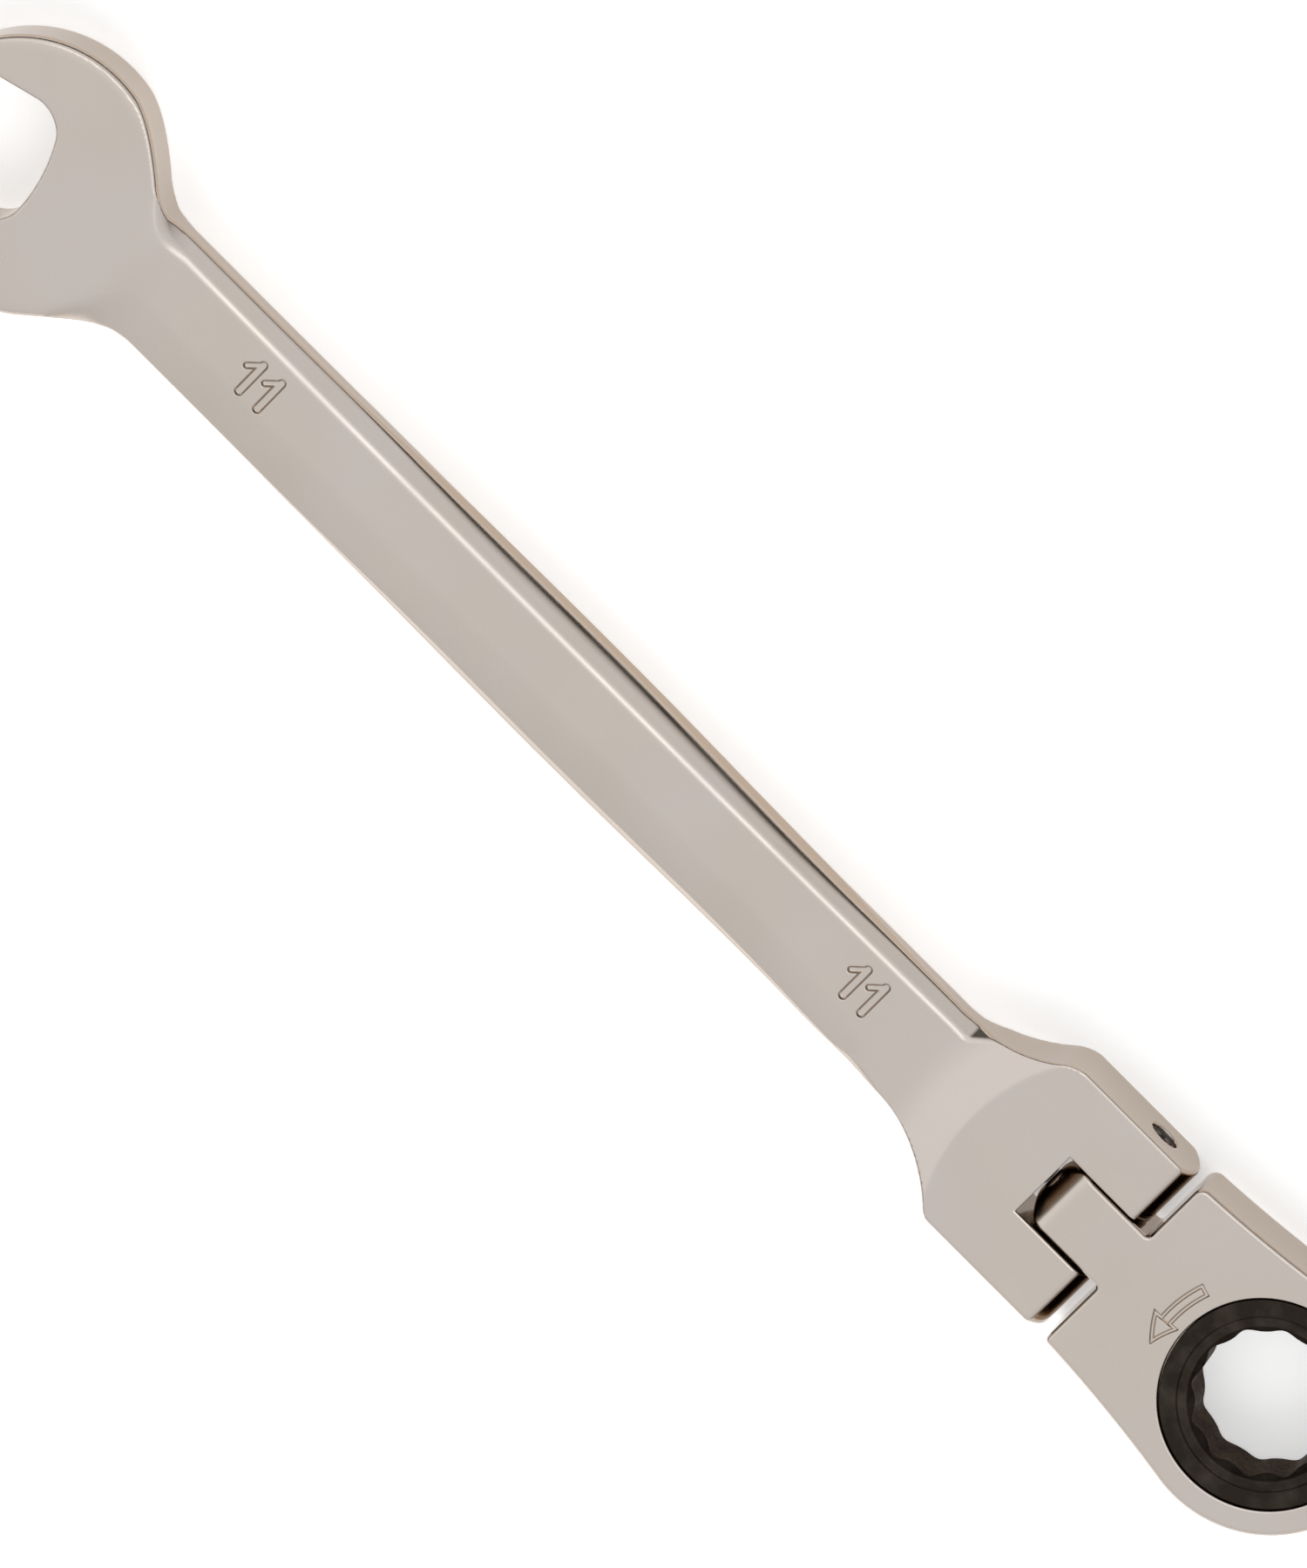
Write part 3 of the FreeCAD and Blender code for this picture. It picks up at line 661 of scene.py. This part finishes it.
CHROME_FACE = (0.78, 0.705, 0.635)
CHROME_FACE_DIM = (0.745, 0.675, 0.61)
CHROME_FACE_PINK = (0.775, 0.705, 0.67)
# Painted shade: the chrome's sides are coloured darker and warmer, standing in for the shadowed floor they reflect
CHROME_SIDE_PAINTED_SHADE = (0.4, 0.315, 0.245)
OXIDE_BLACK = (0.032, 0.025, 0.02)
OXIDE_WORN = (0.07, 0.057, 0.046)
OXIDE_EDGE_TINT = (0.4, 0.36, 0.32, 1.0)
BRIGHT_STEEL = (0.6, 0.59, 0.57)
DARK_STEEL = (0.2, 0.18, 0.16)
PAPER = (0.93, 0.93, 0.93)
PAPER_DIM = (0.9, 0.9, 0.9)
WHITE = (1.0, 1.0, 1.0, 1.0)


def new_material(name):
    material = bpy.data.materials.new(name)
    material.use_nodes = True
    tree = material.node_tree
    return material, tree, tree.nodes["Principled BSDF"]


def node(tree, kind, **values):
    made = tree.nodes.new(kind)
    for key, value in values.items():
        if key in made.inputs:
            made.inputs[key].default_value = value
        else:
            setattr(made, key, value)
    return made


def noise(tree, vector, scale, detail, stretch=(1, 1, 1)):
    """Noise over the object's own space, in features per metre."""
    mapping = node(tree, "ShaderNodeMapping")
    mapping.inputs["Scale"].default_value = stretch
    tree.links.new(vector, mapping.inputs["Vector"])
    made = node(tree, "ShaderNodeTexNoise", Scale=scale, Detail=detail)
    tree.links.new(mapping.outputs["Vector"], made.inputs["Vector"])
    return made.outputs["Fac"]


def remap(tree, value, low, high, to_low, to_high):
    made = node(tree, "ShaderNodeMapRange")
    for key, limit in zip(("From Min", "From Max", "To Min", "To Max"), (low, high, to_low, to_high)):
        made.inputs[key].default_value = limit
    tree.links.new(value, made.inputs["Value"])
    return made.outputs["Result"]


def mix_colour(tree, factor, a, b):
    made = node(tree, "ShaderNodeMix", data_type="RGBA")
    sockets = [socket for socket in made.inputs if socket.type == "RGBA"]
    for socket, colour in zip(sockets, (a, b)):
        if isinstance(colour, tuple):
            socket.default_value = (*colour, 1)
        else:
            tree.links.new(colour, socket)
    tree.links.new(factor, made.inputs["Factor"])
    return [socket for socket in made.outputs if socket.type == "RGBA"][0]


def add_bump(tree, shader, height, distance, strength):
    bump = node(tree, "ShaderNodeBump", Distance=distance, Strength=strength)
    tree.links.new(height, bump.inputs["Height"])
    tree.links.new(bump.outputs["Normal"], shader.inputs["Normal"])


def math_node(tree, operation, a, b):
    made = node(tree, "ShaderNodeMath", operation=operation)
    for socket, value in zip(made.inputs, (a, b)):
        if isinstance(value, (int, float)):
            socket.default_value = value
        else:
            tree.links.new(value, socket)
    return made.outputs[0]


def chrome():
    """Warm satin chrome on belt-polished faces. The forged sides are smoother, with painted shade: a darker,
    warmer colour for the shadowed floor they reflect.
    """
    material, tree, shader = new_material("polished_chrome")
    place = node(tree, "ShaderNodeTexCoord")
    where = place.outputs["Object"]
    cloud = noise(tree, where, 160, 4)
    grain = noise(tree, where, 5200, 3, (0.5, 1, 1))
    split = node(tree, "ShaderNodeSeparateXYZ")
    tree.links.new(place.outputs["Normal"], split.inputs[0])
    facing = math_node(tree, "ABSOLUTE", split.outputs["Z"], 0.0)
    flatness = remap(tree, facing, 0.5, 0.87, 0.0, 1.0)
    mottle = remap(tree, cloud, 0.3, 0.7, 0, 1)
    face = mix_colour(tree, mottle, CHROME_FACE, CHROME_FACE_DIM)
    tint = remap(tree, noise(tree, where, 70, 2), 0.4, 0.65, 0, 0.8)
    face = mix_colour(tree, tint, face, CHROME_FACE_PINK)
    # Painted shade: surfaces that face sideways take the darker, warmer side colour, while flat faces keep the
    # face colour
    colour = mix_colour(tree, flatness, CHROME_SIDE_PAINTED_SHADE, face)
    tree.links.new(colour, shader.inputs["Base Color"])
    rough = remap(tree, flatness, 0, 1, 0.13, 0.27)
    wear = remap(tree, cloud, 0.3, 0.7, -0.02, 0.03)
    tree.links.new(math_node(tree, "ADD", rough, wear), shader.inputs["Roughness"])
    shader.inputs["Metallic"].default_value = 1.0
    add_bump(tree, shader, grain, 0.000004, 0.5)
    return material


def black_oxide():
    """Oiled black oxide, worn a little brighter in patches."""
    material, tree, shader = new_material("black_oxide")
    where = node(tree, "ShaderNodeTexCoord").outputs["Object"]
    cloud = noise(tree, where, 420, 4)
    grit = noise(tree, where, 3500, 3)
    worn = remap(tree, cloud, 0.42, 0.72, 0, 1)
    colour = mix_colour(tree, worn, OXIDE_BLACK, OXIDE_WORN)
    tree.links.new(colour, shader.inputs["Base Color"])
    tree.links.new(remap(tree, grit, 0.3, 0.7, 0.34, 0.56), shader.inputs["Roughness"])
    shader.inputs["Metallic"].default_value = 0.85
    shader.inputs["Specular Tint"].default_value = OXIDE_EDGE_TINT
    add_bump(tree, shader, grit, 0.00003, 0.5)
    return material


def spring_steel(name, base, rough):
    """Drawn or turned steel, from bright to darkened."""
    material, tree, shader = new_material(name)
    where = node(tree, "ShaderNodeTexCoord").outputs["Object"]
    streak = noise(tree, where, 1500, 3, (1, 0.2, 1))
    darker = tuple(c * 0.8 for c in base)
    tree.links.new(mix_colour(tree, streak, base, darker), shader.inputs["Base Color"])
    tree.links.new(remap(tree, streak, 0.3, 0.7, rough - 0.07, rough + 0.1), shader.inputs["Roughness"])
    shader.inputs["Metallic"].default_value = 1.0
    add_bump(tree, shader, streak, 0.00001, 0.4)
    return material


def floor_material():
    material, tree, shader = new_material("floor_paper")
    where = node(tree, "ShaderNodeTexCoord").outputs["Object"]
    fibre = noise(tree, where, 60, 3)
    colour = mix_colour(tree, fibre, PAPER, PAPER_DIM)
    tree.links.new(colour, shader.inputs["Base Color"])
    shader.inputs["Roughness"].default_value = 0.9
    shader.inputs["Emission Color"].default_value = WHITE
    shader.inputs["Emission Strength"].default_value = 0.42
    return material


# Pieces


def build_handle(material):
    """The grid is closest where the figures are stamped and at the shank's thickness."""
    xs = spaced(
        (-153.2, -126.0, 0.2),
        (-126.0, -119.0, 0.4),
        (-119.0, -112.8, 0.08),
        (-112.8, -50.0, 0.5),
        (-50.0, -43.8, 0.08),
        (-43.8, -40.0, 0.3),
        (-40.0, -16.2, 0.17),
    )
    ys = spaced(
        (-13.0, -6.0, 0.22),
        (-6.0, -2.2, 0.17),
        (-2.2, 2.2, 0.085),
        (2.2, 6.0, 0.17),
        (6.0, 11.2, 0.22),
    )
    zs = spaced((-4.1, -1.7, 0.17), (-1.7, 1.7, 0.25), (1.7, 2.3, 0.06), (2.3, 4.1, 0.17))
    piece = mesh_piece("handle_forging", "handle", handle_shape, xs, ys, zs, material)
    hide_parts("handle")
    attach(piece, "handle")


def build_head(material):
    """The grid is closest where the arrow is stamped."""
    xs = spaced((-26.5, -12.2, 0.17), (-12.2, -9.0, 0.075), (-9.0, 11.4, 0.17))
    ys = spaced((-11.4, -3.5, 0.17), (-3.5, 3.5, 0.085), (3.5, 11.4, 0.17))
    zs = spaced((-3.85, 3.3, 0.17), (3.3, 3.6, 0.05), (3.6, 3.9, 0.15))
    piece = mesh_piece("ratchet_housing", "ratchet_head", head_shape, xs, ys, zs, material)
    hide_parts("ratchet_head")
    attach(piece, "head")


def build_gear(material):
    xs = spaced((-9.3, 9.3, 0.13))
    zs = spaced((-3.7, 3.7, 0.13))
    piece = mesh_piece("twelve_point_gear", "ring_gear", gear_shape, xs, xs, zs, material)
    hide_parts("ring_gear")
    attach(piece, "gear")


def build_spring(name, part, body, material):
    """A coil that fills the spring part's box, from where it is held to the piece it pushes."""
    low, high = mm_box(part)
    start, end = low[0] + WIRE_R, high[0] - WIRE_R
    coil_r = high[1] - WIRE_R
    turn = np.linspace(0, 2 * math.pi * (end - start) / COIL_PITCH, COIL_STEPS)
    out = np.stack([np.zeros_like(turn), np.cos(turn), np.sin(turn)], 1)
    centre = coil_r * out + np.outer(np.linspace(start, end, COIL_STEPS), (1, 0, 0))
    ahead = unit(np.gradient(centre, axis=0))
    side = np.cross(ahead, out)
    around = np.linspace(0, 2 * math.pi, WIRE_SIDES, endpoint=False)[:, None]
    rings = [c + WIRE_R * (np.cos(around) * o + np.sin(around) * s) for c, o, s in zip(centre, out, side)]
    points = np.concatenate(rings) * MM
    faces = [tuple(range(WIRE_SIDES))[::-1], tuple(range(len(points) - WIRE_SIDES, len(points)))]
    for ring in range(COIL_STEPS - 1):
        for k in range(WIRE_SIDES):
            a = ring * WIRE_SIDES + k
            b = ring * WIRE_SIDES + (k + 1) % WIRE_SIDES
            faces.append((a, b, b + WIRE_SIDES, a + WIRE_SIDES))
    mesh = bpy.data.meshes.new(name)
    mesh.from_pydata(points.tolist(), [], faces)
    mesh.shade_smooth()
    mesh.materials.append(material)
    piece = add_object(name, mesh)
    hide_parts(part)
    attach(piece, body)
    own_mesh(piece)


def dress_cad(materials):
    """Gives materials to the parts that keep their CAD meshes."""
    for name, material in materials.items():
        for slot in frame["nodes"][name].material_slots:
            slot.material = material


# Stage


def add_floor(material):
    """A wide plain sheet under the wrench."""
    mesh = bpy.data.meshes.new("floor")
    h = FLOOR_HALF
    mesh.from_pydata([(-h, -h, 0), (h, -h, 0), (h, h, 0), (-h, h, 0)], [], [(0, 1, 2, 3)])
    mesh.materials.append(material)
    floor = add_object("floor", mesh)
    floor.location = (FLOOR_X, 0, CAD_BOX[0][2] - FLOOR_GAP)


def add_camera():
    """Looks down from the +Y side, with the wrench lying along the picture's falling diagonal."""
    direction = Vector((0, math.sin(VIEW_TILT), math.cos(VIEW_TILT)))
    along = Vector((1, 0, 0))
    side = direction.cross(along).normalized()
    right = (along + side).normalized()
    up = (side - along).normalized()
    rotation = Matrix((right, up, direction)).transposed()
    data = bpy.data.cameras.new("camera")
    data.sensor_fit = "VERTICAL"
    data.sensor_height = SENSOR
    data.lens = SENSOR * VIEW_DISTANCE / FRAME_HEIGHT
    data.clip_end = 50
    camera = add_object("camera", data)
    camera.matrix_world = Matrix.Translation(TARGET + direction * VIEW_DISTANCE) @ rotation.to_4x4()
    bpy.context.scene.camera = camera


def add_area(name, place, aim, size, power):
    data = bpy.data.lights.new(name, "AREA")
    data.shape = "RECTANGLE"
    data.size, data.size_y = size
    data.energy = power
    lamp = add_object(name, data)
    lamp.location = place
    lamp.rotation_euler = (Vector(aim) - Vector(place)).to_track_quat("-Z", "Y").to_euler()


def add_sun(name, towards, angle, strength):
    data = bpy.data.lights.new(name, "SUN")
    data.angle = math.radians(angle)
    data.energy = strength
    lamp = add_object(name, data)
    lamp.rotation_euler = Vector(towards).to_track_quat("Z", "Y").to_euler()
    lamp.visible_glossy = False


def level_ramp(tree, height, stops):
    """Grey levels by the direction's height, from straight down at 0 to straight up at 1."""
    ramp = tree.nodes.new("ShaderNodeValToRGB")
    elements = ramp.color_ramp.elements
    while len(elements) < len(stops):
        elements.new(0.5)
    for element, (at, colour) in zip(elements, stops):
        element.position = at
        element.color = (*colour, 1)
    tree.links.new(height, ramp.inputs["Fac"])
    return ramp.outputs["Color"]


def add_world():
    """A studio: a bright ceiling, a bright wall on the -Y side, and a dark gap low on the others."""
    world = bpy.data.worlds.new("studio")
    world.use_nodes = True
    tree = world.node_tree
    tree.nodes.clear()
    place = tree.nodes.new("ShaderNodeTexCoord")
    split = tree.nodes.new("ShaderNodeSeparateXYZ")
    tree.links.new(place.outputs["Generated"], split.inputs[0])
    height = remap(tree, split.outputs["Z"], -1, 1, 0, 1)
    wall = remap(tree, split.outputs["Y"], -0.15, -0.45, 0, 1)
    jaw_wall = remap(tree, split.outputs["X"], -0.2, -0.5, 0, 1)
    dark = level_ramp(
        tree,
        height,
        [
            (0.0, FLOOR_GLOW),
            (0.47, (0.62, 0.6, 0.58)),
            (0.5, (0.02, 0.017, 0.014)),
            (0.61, (0.03, 0.026, 0.022)),
            (0.66, (0.36, 0.35, 0.34)),
            (0.73, (0.66, 0.655, 0.65)),
            (1.0, CEILING),
        ],
    )
    bright = level_ramp(tree, height, [(0.0, FLOOR_GLOW), (0.5, (0.6, 0.59, 0.58)), (1.0, CEILING)])
    patch = level_ramp(
        tree,
        height,
        [
            (0.0, FLOOR_GLOW),
            (0.5, (0.02, 0.02, 0.02)),
            (0.61, (0.03, 0.03, 0.03)),
            (0.8, (0.9, 0.89, 0.88)),
            (1.0, (0.8, 0.79, 0.78)),
        ],
    )
    walls = mix_colour(tree, wall, dark, bright)
    walls = mix_colour(tree, jaw_wall, walls, patch)
    background = tree.nodes.new("ShaderNodeBackground")
    tree.links.new(walls, background.inputs["Color"])
    output = tree.nodes.new("ShaderNodeOutputWorld")
    tree.links.new(background.outputs["Background"], output.inputs["Surface"])
    bpy.context.scene.world = world


bpy.context.scene.view_settings.view_transform = "Standard"
add_camera()
add_world()
add_sun("key", towards=(0.6, -0.45, 0.66), angle=55, strength=1.2)
add_area("strip", place=(-0.07, 0.33, 1.45), aim=(-0.07, 0, 0), size=(1.2, 0.3), power=1.2)

CHROME = chrome()
OXIDE = black_oxide()
BRIGHT = spring_steel("spring_steel", BRIGHT_STEEL, rough=0.28)
DARK = spring_steel("dark_steel", DARK_STEEL, rough=0.36)
build_handle(CHROME)
build_head(CHROME)
build_gear(OXIDE)
build_spring("pawl_coil", "pawl_spring", "head", BRIGHT)
build_spring("detent_coil", "detent_spring", "handle", BRIGHT)
dress_cad(
    {
        "retaining_ring": BRIGHT,
        "hinge_pin": DARK,
        "pawl": OXIDE,
        "detent_plunger": BRIGHT,
    }
)
add_floor(floor_material())
